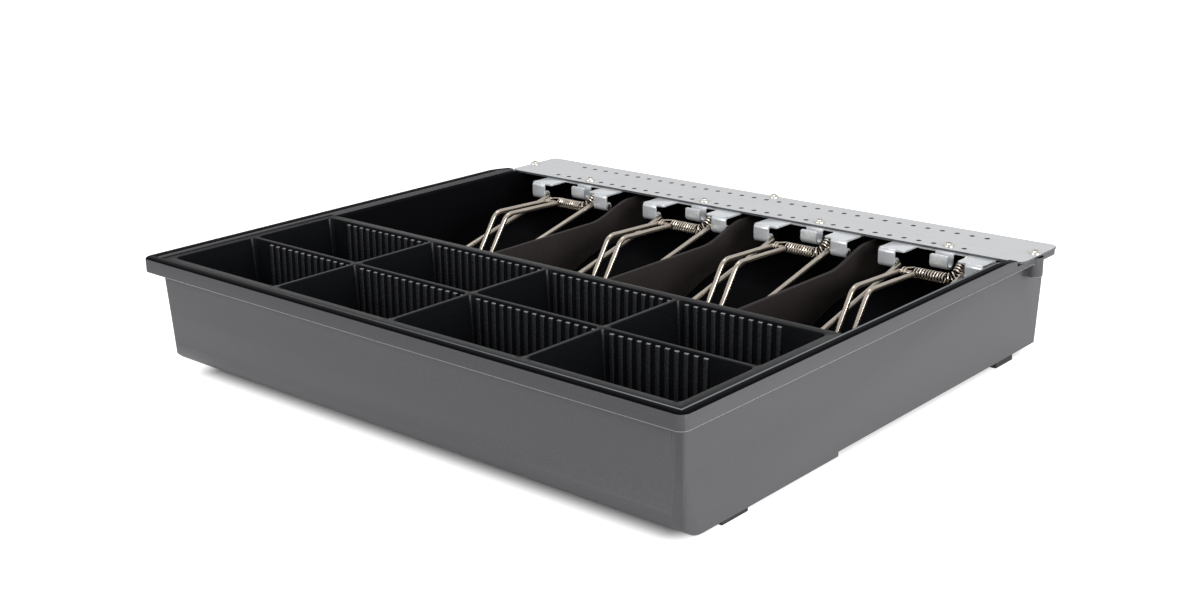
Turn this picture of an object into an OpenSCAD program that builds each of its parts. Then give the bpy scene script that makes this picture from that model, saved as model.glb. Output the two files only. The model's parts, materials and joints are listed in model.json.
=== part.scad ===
// Till insert: a moulded tray with lift-out cups in front, four bays behind,
// and a perforated steel bar that carries four sprung wire hold-downs.
// Millimetres, +Z up, the front faces -Y, the origin is on the table under the middle.

/* [Tray] */
// Width over the rim
tray_w = 355; // [346:1:380]
// Depth over the rim
tray_d = 318; // [290:1:360]
// Height of the rim's top above the table
rim_top = 61; // [56:0.5:75]
// Height of the rim's outer skirt
skirt_h = 8; // [6:0.5:12]
// Thickness of the skirt
skirt_t = 2; // [1.5:0.1:3]
// How far the rim stands out from the wall
rim_overhang = 6; // [5:0.5:9]
// Width of the raised lip on the rim
lip_w = 5; // [4:0.5:7]
// Corner radius of the rim, seen from above
rim_r = 8; // [6:0.5:14]
// Bevel on the rim's upper outer edge
rim_bevel = 0.8; // [0.3:0.1:1.5]
// Thickness of the moulded walls
wall = 2.5; // [2:0.1:3.5]
// Draft of the walls in degrees
draft = 2; // [0.5:0.5:3]
// Corner radius of the walls, seen from above
wall_r = 9; // [6:0.5:14]
// Radius between the front wall and the bottom
nose_r = 14; // [8:0.5:20]
// Height of the rear bottom edge above the table
foot_h = 3; // [2.5:0.5:6]
// How much lower the front part's bottom lies
front_drop = 1.5; // [0.5:0.1:2]
// How far the rear flange stands out from the rear wall
rear_overhang = 1; // [0.5:0.1:2]
// Radius of the rear wall's corners, seen from above
rear_r = 2.5; // [1:0.5:4]
// Fall of the rim's top towards the bar
dip_h = 1.8; // [0.5:0.1:2]
// Length of that fall
dip_len = 17; // [10:1:30]

/* [Cups] */
// Number of cup columns
cup_cols = 4; // [3:1:6]
// Rim width at each side, from the outer edge to the cups
side_land = 11.5; // [11:0.5:16]
// Rim width at the front, from the outer edge to the cups
front_land = 12.2; // [12:0.2:18]
// Depth of the front row, wall centre to wall centre
front_row = 51.7; // [40:0.1:62]
// Depth of the rear row, wall centre to wall centre
rear_row = 53.9; // [40:0.1:62]
// Thickness of the cup walls
cup_wall = 2.4; // [1.6:0.1:3.2]
// How far the cup tray's rim lies below the tray's rim
cup_drop = 1.4; // [0.5:0.1:3]
// Thickness of the cup tray's rim
cup_rim_t = 1.5; // [1.2:0.1:2.5]
// Radius of the scoop at the front of each cup
scoop_r = 12; // [6:0.5:16]
// Corner radius inside the cups
cup_r = 3; // [1.5:0.5:6]
// Pitch of the ribs on the cups' rear walls
rib_pitch = 5.2; // [4:0.1:8]
// Width of a rib
rib_w = 2.4; // [1.2:0.1:3]
// How far a rib stands out
rib_h = 1.2; // [0.6:0.1:2]
// Plain stretch of wall left of the first rib
rib_plain_left = 16; // [5:1:30]
// Plain stretch of wall right of the last rib
rib_plain_right = 20; // [5:1:30]

/* [Bays] */
// Height of the bay floor above the table
bay_floor = 17.6; // [12:0.1:22]
// Rise of the floor towards the rear
bay_rise = 11; // [4:0.5:14]
// How far behind the lever's foot the floor starts to rise
ramp_gap = 14.3; // [10:0.1:20]
// Length of the slope
bay_slope = 45; // [25:1:55]
// Thickness of a divider
divider_t = 2.5; // [1.6:0.1:4]
// How far the dividers stand to the right of the cup columns
divider_shift = 5.7; // [5.4:0.1:7]
// Height of a divider's top above the table
divider_top = 45.4; // [36:0.1:46]
// Rise of the divider's top under the bar
divider_rise = 8.2; // [4:0.1:9]
// Length of the sweep up to the rear
divider_sweep = 36; // [14:1:40]
// End of the sweep in front of the bar
sweep_out = 1.3; // [0:0.1:10]

/* [Bar and clips] */
// Depth of the bar
bar_d = 41.7; // [34:0.1:46]
// Thickness of the bar
bar_t = 1.2; // [0.8:0.1:2]
// How far the bar's top lies below the rim
bar_drop = 3.4; // [2.4:0.1:5]
// How far the bar's ends stand out over the rim's outer face
bar_over = 0.5; // [0.2:0.1:1]
// Gap between the rim's end and the bar
rebate_gap = 3.3; // [0.4:0.1:4]
// Corner radius of the bar
bar_r = 4; // [1:0.5:6]
// Diameter of the bar's perforations
perf_dia = 3; // [2:0.1:4]
// First and last perforation, from the rim's outer faces
perf_margin = 35; // [33:0.5:36]
// First row of perforations, from the bar's front edge
perf_front = 6; // [4:0.5:10]
// Second row, from the first
perf_rows_gap = 25.2; // [20:0.1:25.4]
// Sheet thickness of a clip
clip_t = 1.2; // [0.8:0.1:1.6]
// Width of a clip over its ears
clip_w = 60.4; // [57:0.2:61]
// Width of one ear
ear_w = 9.8; // [8.6:0.2:9.8]
// How much wider the tab behind an ear is, on its inner side
shoulder_w = 5; // [2:0.5:6]
// Corner radius of the clip's tabs
tab_r = 1.2; // [0.5:0.1:2]
// Depth of the clip's plate under the bar
clip_d = 26; // [18:1:28]
// Hinge axis in front of the bar's front edge
hinge_out = 11.7; // [11.5:0.1:13]
// Hinge axis below the bar's top
hinge_drop = 8.7; // [7.5:0.1:9]
// Width of the hook
hook_w = 10.4; // [8:0.2:10.8]
// Middle of the hook, right of the clip's middle
hook_x = 1.9; // [1:0.1:2.2]
// Inner radius of the hook
hook_r = 2.3; // [1.6:0.1:2.4]
// How far the hook's back stands in front of the clip's plate
hook_out = 1.3; // [1:0.1:2]
// Height of the hook
hook_h = 8.2; // [6:0.1:8.4]
// How far the hook's lip ends below the clip's top
hook_lip = 0.2; // [0.2:0.1:2]

/* [Hold-downs] */
// Wire diameter of a hold-down
wire_dia = 2.8; // [2.4:0.1:3]
// Radius of the wire's bends, to its centre line
wire_bend = 2.2; // [1.8:0.1:2.4]
// Radius of the lever's front bend
lever_bend = 8; // [4:0.5:9]
// Lever length from the hinge to its front bend
lever_len = 51.7; // [40:0.1:56]
// Hinge to the place where the lever's strands meet the floor
foot_reach = 72; // [66:0.5:76]
// Gap between the cross wall and the wire's front end
nose_gap = 18.9; // [8:0.1:24]
// Left leg to the left lever strand, middle to middle
strand_gap = 3.7; // [3.4:0.1:3.9]
// Left lever strand to the right one, middle to middle
strand_pitch = 9; // [8:0.1:9]
// Rear end of the lever in front of the hinge axis
cross_out = 7.2; // [7:0.1:9]
// Rear end of the lever below the hinge axis
cross_drop = 1.7; // [0:0.1:3]
// Gap under the hold-down at rest
rest_gap = 0.3; // [0.2:0.1:0.6]
// Wire diameter of a spring
spring_wire = 0.75; // [0.6:0.05:0.75]
// Mean radius of a spring
spring_r = 2.65; // [2.4:0.05:2.7]
// Middle of the coil in front of the hinge axis
coil_out = 2; // [1.8:0.1:2.1]
// Middle of the coil below the hinge axis
coil_drop = 2.7; // [2.5:0.1:3]

/* [Fasteners] */
// Diameter of the clip screws
screw_dia = 3; // [2.5:0.1:4]
// Head diameter of all screws
head_dia = 6; // [5:0.1:8]
// Head height of all screws
head_h = 2; // [1.4:0.1:3]
// Diameter of the bar's own screws
bar_screw_dia = 3.5; // [3:0.1:4]
// Middle of the bar's end screws, from the bar's front edge
end_screw_in = 19.7; // [14:0.1:26]
// Middle of the bar's end screws, from the rim's outer face
end_screw_side = 2; // [1.8:0.1:3]
// Middle of the bar's rear screw, from the rear edge
rear_screw_in = 3; // [3:0.1:4]
// Length of a bar screw under its head
bar_screw_len = 9; // [6:0.5:10]
// Length of a clip screw under its head
clip_screw_len = 5; // [3:0.5:6]
// Radius of the screw bosses
boss_r = 4.5; // [4:0.5:5]
// Height of the screw bosses
boss_h = 10.5; // [10.5:0.5:16]
// Length of a foot
foot_len = 18; // [12:1:30]
// Width of a foot
foot_w = 8; // [5:0.5:10]
// How far a foot lies inside the wall's lower edge
foot_inset = 0.2; // [0.2:0.1:3]
// Middle of the front feet, from the front edge
foot_front = 44; // [35:1:70]
// Middle of the rear feet, from the rear edge
foot_rear = 36; // [30:1:60]

/* [Clearances] */
// Gap round the cup tray's rim
lift_gap = 0.4; // [0.3:0.1:0.8]
// Gap between the cup tray and the tray's walls
cup_gap = 1.2; // [0.6:0.1:1.5]
// Gap under the cup tray
cup_floor_gap = 0.5; // [0.3:0.1:1]
// Radial running clearance in the hinge knuckles
hinge_gap = 0.05; // [0.02:0.01:0.1]
// Radial gap round the screws
screw_gap = 0.05; // [0.02:0.01:0.2]
// Gap at the ends of loose-fitting pieces
end_gap = 0.3; // [0.2:0.1:0.6]

/* [Hidden] */
$fn = 48;
eps = 0.01;
slope = tan(draft);
cut_over = 1;

// Main planes of the tray
front = -tray_d / 2;
rear = tray_d / 2;
ledge_z = rim_top - cup_drop - cup_rim_t;
flange_z = ledge_z - skirt_t;
wall_in = rim_overhang + wall;
rear_in = rear_overhang + wall;
corner_r = max(rim_r, wall_in + 0.5);
bottom_rear = foot_h;
bottom_front = foot_h - front_drop;

// Cup rows and columns
cup_top = rim_top - cup_drop;
cups_w = tray_w - 2 * side_land;
col_pitch = cups_w / cup_cols;
row_front_y = front + front_land;
row_mid_y = row_front_y + front_row;
row_rear_y = row_mid_y + rear_row;
cup_floor_z = bottom_front + wall + cup_floor_gap + cup_wall;
cup_nose_r = nose_r - wall - cup_gap;

// Wall between the cups and the bays
bulk_front_y = row_rear_y + cup_wall / 2 + lift_gap;
bulk_rear_y = bulk_front_y + wall;

// Bar and bays
bar_z = rim_top - bar_drop;
seat_z = bar_z - bar_t;
bar_front_y = rear - bar_d;
rebate_y = bar_front_y - rebate_gap;
bays = 4;
bay_pitch = cups_w / bays;
end_screw_y = bar_front_y + end_screw_in;
end_screw_x = tray_w / 2 - end_screw_side;
rear_screw_y = rear - rear_screw_in;
flange_low_z = rim_top - skirt_h;
bay_rear_y = min(rear - rear_in - slope * (ledge_z - bay_floor), rear_screw_y - boss_r) - end_gap;
sweep_y = bar_front_y - sweep_out - divider_sweep;

// Perforations, and the ones that the clips are screwed to
perf_count = 33;
clip_holes = [3, 13, 22, 31];
perf_pitch = (tray_w - 2 * perf_margin) / (perf_count - 1);

// Hinge and hold-downs
wire_r = wire_dia / 2;
bore_r = wire_r + hinge_gap;
hinge_y = bar_front_y - hinge_out;
hinge_z = bar_z - hinge_drop;
clip_top = seat_z;
ear_in = clip_w / 2 - ear_w;
leg_x = ear_in - wire_bend;
pin_end = clip_w / 2 + end_gap;
strand_a = leg_x - strand_gap;
strand_b = strand_a - strand_pitch;
nose_y = bulk_rear_y + nose_gap + wire_r;
foot_y = hinge_y - foot_reach;
lever_y = hinge_y - lever_len;
cross_y = hinge_y - cross_out;
cross_z = hinge_z - cross_drop;
ramp_y0 = foot_y + ramp_gap;
wire_z = bay_floor + rest_gap + wire_r;
seam = 0.01;
seam_lap = 0.05;
tight_bend = strand_gap / 2 - 2 * seam_lap;
clip_screw_y = bar_front_y + perf_front;
plate_y = bar_front_y + end_gap;
knuckle_r = bore_r + clip_t;
face_y = hinge_y - knuckle_r;
bend_r = 2 * clip_t;
shoulder_y = face_y + clip_t;
hook_back_y = plate_y - hook_out - clip_t;
hook_mid_y = hook_back_y - hook_r;
hook_mid_z = clip_top - hook_h + hook_r + clip_t;

// Springs
spring_side = 6;
spring_rings = 8;
spring_side_gap = 4.2;
spring_bend = 5;
spring_tilt = 35;
spring_run = 5.2;
spring_pitch = 1.65;
spring_pitch_bend = 2.6;
spring_lap = 3.3;
spring_x0 = -strand_b - spring_lap;
spring_end_x = hook_x + hook_w / 2 + spring_side_gap + spring_r + spring_wire / 2;
spring_x1 = spring_end_x - spring_bend;
spring_end_len = 1.2;
eye_r = wire_r + end_gap + spring_wire;
eye_turns = 1.25;
eye_x = -(strand_a + strand_b) / 2;

// Lower edges of the side walls, and the feet under them
knee_z = (ledge_z + bottom_front) / 2;
front_low_x = tray_w / 2 - rim_overhang - slope * (ledge_z - knee_z);
rear_low_x = tray_w / 2 - rim_overhang - slope * rim_top;
foot_front_x = front_low_x - foot_w / 2 - foot_inset;
foot_rear_x = rear_low_x - foot_w / 2 - foot_inset;
foot_front_y = front + foot_front;
foot_rear_y = rear - foot_rear;

function divider_x(i) = -cups_w / 2 + bay_pitch * i + divider_shift;
function perf_x(k) = perf_pitch * (k - (perf_count - 1) / 2);
function clip_x(i) = perf_x(clip_holes[i]);
function unit(v) = v / norm(v);
function ease(u) = u < 0 ? 0 : u > 1 ? 1 : (1 - cos(180 * u)) / 2;
function floor_z(y) = bay_floor + bay_rise * ease((y - ramp_y0) / bay_slope);
function ramp_ys(n) = [for (i = [0 : n]) ramp_y0 + bay_slope * i / n];

// Flat helpers

// Rectangle with round corners between two corners
module round_rect(x0, y0, x1, y1, r) {
    union() {
        translate([x0 + r, y0]) square([x1 - x0 - 2 * r, y1 - y0]);
        translate([x0, y0 + r]) square([x1 - x0, y1 - y0 - 2 * r]);
        for (x = [x0 + r, x1 - r], y = [y0 + r, y1 - r])
            translate([x, y]) circle(r = r);
    }
}

// Puts an outline drawn in Y and Z along X
module along_x(x0, x1) {
    translate([x0, 0, 0])
        rotate([90, 0, 90])
            linear_extrude(x1 - x0) children();
}

// Puts an outline drawn in X and Z along Y
module along_y(y0, y1) {
    translate([0, y1, 0])
        rotate([90, 0, 0])
            linear_extrude(y1 - y0) children();
}

// Side outline with a drafted front, a round nose and a level bottom
module nosed_outline(front_y, z0, z1, rear_y, r) {
    cy = front_y + (z1 - z0 - r) * slope + r / cos(draft);
    union() {
        translate([cy, z0 + r]) circle(r = r, $fn = 96);
        polygon([
            [front_y, z1],
            [cy - r * cos(draft), z0 + r - r * sin(draft)],
            [cy, z0],
            [rear_y, z0],
            [rear_y, z1]
        ]);
    }
}

// Front outline with drafted sides
module drafted_outline(half_w, z0, z1) {
    inset = (z1 - z0) * slope;
    polygon([[-half_w, z1], [half_w, z1], [half_w - inset, z0], [-half_w + inset, z0]]);
}

// Outer tray

// Section of the rim: x is the distance in from the outer face
module rim_section() {
    polygon([
        [0, rim_top - skirt_h],
        [0, rim_top - rim_bevel],
        [rim_bevel, rim_top],
        [lip_w, rim_top],
        [lip_w, ledge_z],
        [wall_in, ledge_z],
        [wall_in, flange_z],
        [skirt_t, flange_z],
        [skirt_t, rim_top - skirt_h]
    ]);
}

// Rim at the front and both sides, up to the bar's rebate
module rim() {
    for (side = [-1, 1]) {
        mirror([side < 0 ? 1 : 0, 0, 0]) {
            translate([tray_w / 2 - corner_r, front + corner_r, 0])
                rotate([0, 0, -90])
                    rotate_extrude(angle = 90)
                        translate([corner_r, 0]) mirror([1, 0]) rim_section();
            translate([tray_w / 2, rebate_y, 0])
                rotate([90, 0, 0])
                    linear_extrude(rebate_y - front - corner_r)
                        mirror([1, 0]) rim_section();
        }
    }
    translate([-tray_w / 2 + corner_r, front, 0])
        rotate([90, 0, 90])
            linear_extrude(tray_w - 2 * corner_r) rim_section();
}

// What the rim's top loses where it falls towards the bar
module rim_dip() {
    along_x(-tray_w / 2 - cut_over, tray_w / 2 + cut_over)
        polygon([
            [rebate_y - dip_len, rim_top],
            [rebate_y, rim_top - dip_h],
            [rebate_y + wall, rim_top - dip_h],
            [rebate_y + wall, rim_top + cut_over],
            [rebate_y - dip_len, rim_top + cut_over]
        ]);
}

// Flange round the rear and both sides that the bar rests on; it closes the rim's ends
module bar_flange() {
    flange_y = rebate_y - wall;
    inner_x = tray_w / 2 - wall_in;
    translate([0, 0, flange_low_z])
        linear_extrude(seat_z - flange_low_z)
            difference() {
                round_rect(-tray_w / 2, front, tray_w / 2, rear, bar_r);
                translate([-tray_w / 2, front]) square([tray_w, flange_y - front]);
                translate([-inner_x, front]) square([2 * inner_x, rear - rear_in - front]);
            }
}

// Outside of the walls: below the knee the front part stands upright and a little proud
module tray_outside() {
    half_w = tray_w / 2 - rim_overhang;
    intersection() {
        along_x(-tray_w / 2, tray_w / 2)
            union() {
                nosed_outline(front + rim_overhang, bottom_front, ledge_z, bulk_rear_y, nose_r);
                polygon([
                    [bulk_rear_y - wall, bottom_rear],
                    [bulk_rear_y - wall, ledge_z],
                    [rebate_y, ledge_z],
                    [rebate_y, seat_z],
                    [rear - rear_overhang, seat_z],
                    [rear - rear_overhang - (seat_z - bottom_rear) * slope, bottom_rear]
                ]);
            }
        union() {
            along_y(front, rear)
                drafted_outline(half_w, bottom_front, ledge_z);
            along_y(front, bulk_rear_y)
                translate([-front_low_x, bottom_front])
                    square([2 * front_low_x, knee_z + wall - bottom_front]);
        }
        linear_extrude(rim_top)
            intersection() {
                round_rect(-half_w, front + rim_overhang, half_w, rear + wall_r, wall_r);
                round_rect(-half_w, front, half_w, rear - rear_overhang, rear_r);
            }
    }
}

// Space inside the walls between two side outlines
module tray_inside(y0, y1) {
    half_w = tray_w / 2 - wall_in;
    over_z = rim_top + cut_over;
    grow = (over_z - ledge_z) * slope;
    intersection() {
        along_x(-tray_w / 2, tray_w / 2) children();
        along_y(y0, y1) drafted_outline(half_w + grow, 0, over_z);
        linear_extrude(over_z)
            round_rect(-half_w - grow, front + wall_in - grow, half_w + grow,
                       rear - rear_in + grow, wall_r - wall);
    }
}

// Side outline of the space that the cup tray drops into
module cup_space_outline() {
    union() {
        nosed_outline(front + wall_in, bottom_front + wall, ledge_z, bulk_front_y, nose_r - wall);
        translate([front + wall_in, ledge_z])
            square([bulk_front_y - front - wall_in, rim_top - ledge_z + cut_over]);
    }
}

// Side outline of the bays
module bay_space_outline() {
    back = rear - rear_in;
    polygon(concat(
        [[bulk_rear_y, rim_top + cut_over], [bulk_rear_y, bay_floor]],
        [for (y = ramp_ys(12)) [y, floor_z(y)]],
        [
            [back - (ledge_z - bay_floor - bay_rise) * slope, bay_floor + bay_rise],
            [back, ledge_z],
            [back, rim_top + cut_over]
        ]
    ));
}

// Side outline of the hollow under the bay floor, or of a rib that laps into floor and wall
module under_outline(y0, z0, lap) {
    back = rear - rear_in - (ledge_z - bottom_rear) * slope + lap;
    top = lap - wall;
    polygon(concat(
        [[y0, z0], [y0, bay_floor + top]],
        [for (y = ramp_ys(12)) [y, floor_z(y) + top]],
        [[back, bay_floor + bay_rise + top], [back, z0]]
    ));
}

// Screw boss, seen from above: side bosses run back to the wall, the rear one ends at the flange
module side_boss_outline() {
    wall_x = tray_w / 2 - rim_overhang - wall / 2;
    translate([end_screw_x, end_screw_y]) circle(r = boss_r);
    translate([wall_x, end_screw_y - boss_r]) square([end_screw_x - wall_x, 2 * boss_r]);
}

module rear_boss_outline() {
    intersection() {
        translate([0, rear_screw_y]) circle(r = boss_r);
        translate([-boss_r, rear - wall_in]) square([2 * boss_r, wall_in]);
    }
}

module bosses() {
    translate([0, 0, seat_z - boss_h])
        linear_extrude(boss_h) {
            side_boss_outline();
            mirror([1, 0]) side_boss_outline();
            rear_boss_outline();
        }
}

module pilot(x, y) {
    translate([x, y, seat_z - bar_screw_len])
        cylinder(r = bar_screw_dia / 2 + screw_gap, h = bar_screw_len + cut_over);
}

module rear_foot_pad(side) {
    outer = rear_low_x - foot_inset / 2;
    inner = foot_rear_x - foot_w;
    x0 = side > 0 ? inner : -outer;
    translate([x0, foot_rear_y - foot_len / 2 - wall, bottom_rear])
        cube([outer - inner, foot_len + 2 * wall, wall]);
    for (y = [foot_rear_y - foot_len / 2 - wall, foot_rear_y + foot_len / 2])
        translate([x0, y, bottom_rear])
            cube([outer - inner, wall, bay_floor + bay_rise - wall / 2 - bottom_rear]);
}

module outer_tray() {
    color("#2b2b2d")
    difference() {
        union() {
            difference() {
                tray_outside();
                tray_inside(front, bulk_front_y) cup_space_outline();
                tray_inside(bulk_rear_y, rear) bay_space_outline();
                tray_inside(bulk_rear_y, rear) under_outline(bulk_rear_y, 0, 0);
            }
            rim();
            bar_flange();
            bosses();
            for (i = [1 : bays - 1])
                along_x(divider_x(i) - wall / 2, divider_x(i) + wall / 2)
                    under_outline(bulk_rear_y - wall / 2, bottom_rear, wall / 2);
            for (side = [-1, 1])
                rear_foot_pad(side);
        }
        for (x = [-end_screw_x, end_screw_x])
            pilot(x, end_screw_y);
        pilot(0, rear_screw_y);
        rim_dip();
    }
}

// Cup tray

function col_x(i) = -cups_w / 2 + col_pitch * i;

// One cup's space: drafted sides, a scooped front and a straight ribbed rear
module cup_space(col, y0, y1) {
    x0 = col_x(col) + (col == 0 ? 0 : cup_wall / 2);
    x1 = col_x(col + 1) - (col == cup_cols - 1 ? 0 : cup_wall / 2);
    half_w = (x1 - x0) / 2;
    intersection() {
        along_x(x0, x1)
            union() {
                nosed_outline(y0, cup_floor_z, cup_top, y1, scoop_r);
                translate([y0, cup_top]) square([y1 - y0, 1]);
            }
        translate([x0 + half_w, 0, 0])
            along_y(y0, y1)
                drafted_outline(half_w + slope, cup_floor_z, cup_top + 1);
        linear_extrude(cup_top + 1)
            round_rect(x0, y0, x1, y1, cup_r);
    }
}

// Ribs on the front face of a cross wall
module ribs(wall_y) {
    face_y = wall_y - cup_wall / 2;
    x_first = -cups_w / 2 + rib_plain_left;
    x_last = cups_w / 2 - rib_plain_right;
    clear = (rib_w + cup_wall) / 2 + lift_gap;
    translate([0, 0, cup_floor_z - eps])
        linear_extrude(cup_top - cup_floor_z - cup_rim_t)
            for (x = [x_first : rib_pitch : x_last])
                if (min([for (i = [1 : cup_cols - 1]) abs(x - col_x(i))]) > clear)
                    translate([x - rib_w / 2, face_y - rib_h])
                        square([rib_w, rib_h + cup_wall / 2]);
}

module cup_tray() {
    half_w = tray_w / 2 - wall_in - cup_gap;
    front_y = front + wall_in + cup_gap;
    back_y = row_rear_y + cup_wall / 2;
    lip = lip_w + lift_gap;
    color("#1c1c1e")
    union() {
        difference() {
            union() {
                intersection() {
                    along_x(-tray_w / 2, tray_w / 2)
                        nosed_outline(front_y, bottom_front + wall + cup_floor_gap, cup_top,
                                      back_y, cup_nose_r);
                    along_y(front, back_y)
                        drafted_outline(half_w, bottom_front, cup_top);
                    linear_extrude(cup_top)
                        round_rect(-half_w, front_y, half_w, back_y + wall_r, wall_r - wall);
                }
                translate([0, 0, ledge_z])
                    linear_extrude(cup_rim_t)
                        intersection() {
                            round_rect(-tray_w / 2 + lip, front + lip, tray_w / 2 - lip,
                                       bulk_rear_y + corner_r, corner_r - lip_w);
                            translate([-tray_w / 2, front])
                                square([tray_w, bulk_rear_y - front]);
                        }
            }
            for (col = [0 : cup_cols - 1]) {
                cup_space(col, row_front_y, row_mid_y - cup_wall / 2);
                cup_space(col, row_mid_y + cup_wall / 2, row_rear_y - cup_wall / 2);
            }
        }
        ribs(row_mid_y);
        ribs(row_rear_y);
    }
}

// Feet and dividers

module feet() {
    color("#151515")
    for (side = [-1, 1]) {
        translate([side * foot_front_x - foot_w / 2, foot_front_y - foot_len / 2, 0])
            cube([foot_w, foot_len, bottom_front]);
        translate([side * foot_rear_x - foot_w / 2, foot_rear_y - foot_len / 2, 0])
            cube([foot_w, foot_len, bottom_rear]);
    }
}

// Divider plate: its foot follows the floor, its top sweeps up under the bar
module bay_divider(i) {
    x = divider_x(i);
    y0 = bulk_rear_y + end_gap;
    color("#1f1f21")
    along_x(x - divider_t / 2, x + divider_t / 2)
        polygon(concat(
            [[y0, bay_floor]],
            [for (y = ramp_ys(12)) [y, floor_z(y)]],
            [[bay_rear_y, bay_floor + bay_rise], [bay_rear_y, divider_top + divider_rise]],
            [for (k = [12 : -1 : 0])
                [sweep_y + divider_sweep * k / 12, divider_top + divider_rise * ease(k / 12)]],
            [[y0, divider_top]]
        ));
}

// Bar and its screws

module hold_down_bar() {
    x_end = tray_w / 2 + bar_over;
    hole_r = screw_dia / 2 + screw_gap;
    color("#c6c8c9")
    translate([0, 0, seat_z])
        linear_extrude(bar_t)
            difference() {
                round_rect(-x_end, bar_front_y, x_end, rear, bar_r);
                for (k = [0 : perf_count - 1], y = [perf_front, perf_front + perf_rows_gap])
                    if (y > perf_front || len(search(k, clip_holes)) == 0)
                        translate([perf_x(k), bar_front_y + y])
                            circle(d = perf_dia);
                for (i = [0 : bays - 1])
                    translate([clip_x(i), clip_screw_y]) circle(r = hole_r);
                for (x = [-end_screw_x, end_screw_x])
                    translate([x, end_screw_y]) circle(r = bar_screw_dia / 2 + screw_gap);
                translate([0, rear_screw_y]) circle(r = bar_screw_dia / 2 + screw_gap);
            }
}

// Pan-head screw standing on the bar
module pan_screw(x, y, dia, len) {
    cap_r = head_dia / 2;
    ball_r = (cap_r * cap_r + head_h * head_h) / (2 * head_h);
    translate([x, y, bar_z]) {
        intersection() {
            translate([0, 0, head_h - ball_r]) sphere(r = ball_r);
            cylinder(r = cap_r, h = head_h);
        }
        translate([0, 0, -len]) cylinder(r = dia / 2, h = len + eps);
    }
}

module bar_end_screws() {
    color("#c9c2b4")
    for (x = [-end_screw_x, end_screw_x])
        pan_screw(x, end_screw_y, bar_screw_dia, bar_screw_len);
}

module bar_rear_screw() {
    color("#c9c2b4") pan_screw(0, rear_screw_y, bar_screw_dia, bar_screw_len);
}

module clip_screws() {
    color("#c9c2b4")
    for (i = [0 : bays - 1])
        pan_screw(clip_x(i), clip_screw_y, screw_dia, clip_screw_len);
}

// Clips

// Side outline of an ear: a tab, a bend, a front plate and a knuckle curled round the hinge wire
module ear_outline() {
    difference() {
        union() {
            translate([face_y + bend_r, clip_top - clip_t])
                square([plate_y + clip_t - face_y - bend_r, clip_t]);
            intersection() {
                translate([face_y + bend_r, clip_top - bend_r]) circle(r = bend_r);
                translate([face_y, clip_top - bend_r]) square([bend_r, bend_r]);
            }
            translate([face_y, hinge_z]) square([clip_t, clip_top - bend_r - hinge_z]);
            translate([hinge_y, hinge_z]) circle(r = knuckle_r);
        }
        translate([face_y + bend_r, clip_top - bend_r]) circle(r = bend_r - clip_t);
        translate([hinge_y, hinge_z]) circle(r = bore_r);
    }
}

// Wider tab behind an ear, seen from above
module tab_outline(x0, x1) {
    translate([x0, shoulder_y + tab_r]) square([x1 - x0, plate_y + clip_t - shoulder_y - tab_r]);
    translate([x0 + tab_r, shoulder_y]) square([x1 - x0 - 2 * tab_r, plate_y - shoulder_y]);
    for (x = [x0 + tab_r, x1 - tab_r])
        translate([x, shoulder_y + tab_r]) circle(r = tab_r);
}

// Side outline of the hook: down from the plate and round to the front
module hook_outline() {
    difference() {
        union() {
            translate([hook_back_y, clip_top - clip_t])
                square([plate_y + clip_t - hook_back_y, clip_t]);
            translate([hook_back_y, hook_mid_z]) square([clip_t, clip_top - hook_mid_z]);
            translate([hook_mid_y, hook_mid_z]) circle(r = hook_r + clip_t);
        }
        translate([hook_mid_y, hook_mid_z]) circle(r = hook_r);
        translate([hook_mid_y - hook_r - 2 * clip_t, hook_mid_z])
            square([2 * (hook_r + clip_t), hook_h]);
    }
}

// Front lip of the hook, seen from the front, its upper corners round
module lip_outline(x0, x1) {
    top = clip_top - hook_lip;
    translate([x0, hook_mid_z - seam]) square([x1 - x0, top - tab_r - hook_mid_z + seam]);
    translate([x0 + tab_r, hook_mid_z]) square([x1 - x0 - 2 * tab_r, top - hook_mid_z]);
    for (x = [x0 + tab_r, x1 - tab_r])
        translate([x, top - tab_r]) circle(r = tab_r);
}

module clip(i) {
    x = clip_x(i);
    hook_x0 = x + hook_x - hook_w / 2;
    hook_x1 = x + hook_x + hook_w / 2;
    color("#b6babd")
    union() {
        translate([0, 0, clip_top - clip_t])
            linear_extrude(clip_t)
                difference() {
                    translate([x - clip_w / 2, plate_y]) square([clip_w, clip_d]);
                    translate([x, clip_screw_y]) circle(r = screw_dia / 2 + screw_gap);
                }
        translate([0, 0, clip_top - clip_t])
            linear_extrude(clip_t) {
                tab_outline(x - clip_w / 2, x - ear_in + shoulder_w);
                tab_outline(x + ear_in - shoulder_w, x + clip_w / 2);
            }
        for (x0 = [x - clip_w / 2, x + ear_in])
            along_x(x0, x0 + ear_w) ear_outline();
        along_x(hook_x0, hook_x1) hook_outline();
        along_y(hook_mid_y - hook_r - clip_t, hook_mid_y - hook_r) lip_outline(hook_x0, hook_x1);
    }
}

// Wire hold-downs

// Corners of the wire from the left hinge to the right one, with the bend radius at each
function wire_corners(x) = [
    [[x - pin_end, hinge_y, hinge_z], 0],
    [[x - leg_x, hinge_y, hinge_z], wire_bend],
    [[x - leg_x, nose_y, wire_z], tight_bend],
    [[x - strand_a, nose_y, wire_z], tight_bend],
    [[x - strand_a, foot_y, wire_z], lever_bend],
    [[x - strand_a, lever_y, hinge_z], lever_bend],
    [[x - strand_a, cross_y, cross_z], wire_bend],
    [[x - strand_b, cross_y, cross_z], wire_bend],
    [[x - strand_b, lever_y, hinge_z], lever_bend],
    [[x - strand_b, foot_y, wire_z], lever_bend],
    [[x - strand_b, nose_y, wire_z], wire_bend],
    [[x + leg_x, nose_y, wire_z], wire_bend],
    [[x + leg_x, hinge_y, hinge_z], wire_bend],
    [[x + pin_end, hinge_y, hinge_z], 0]
];

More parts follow.
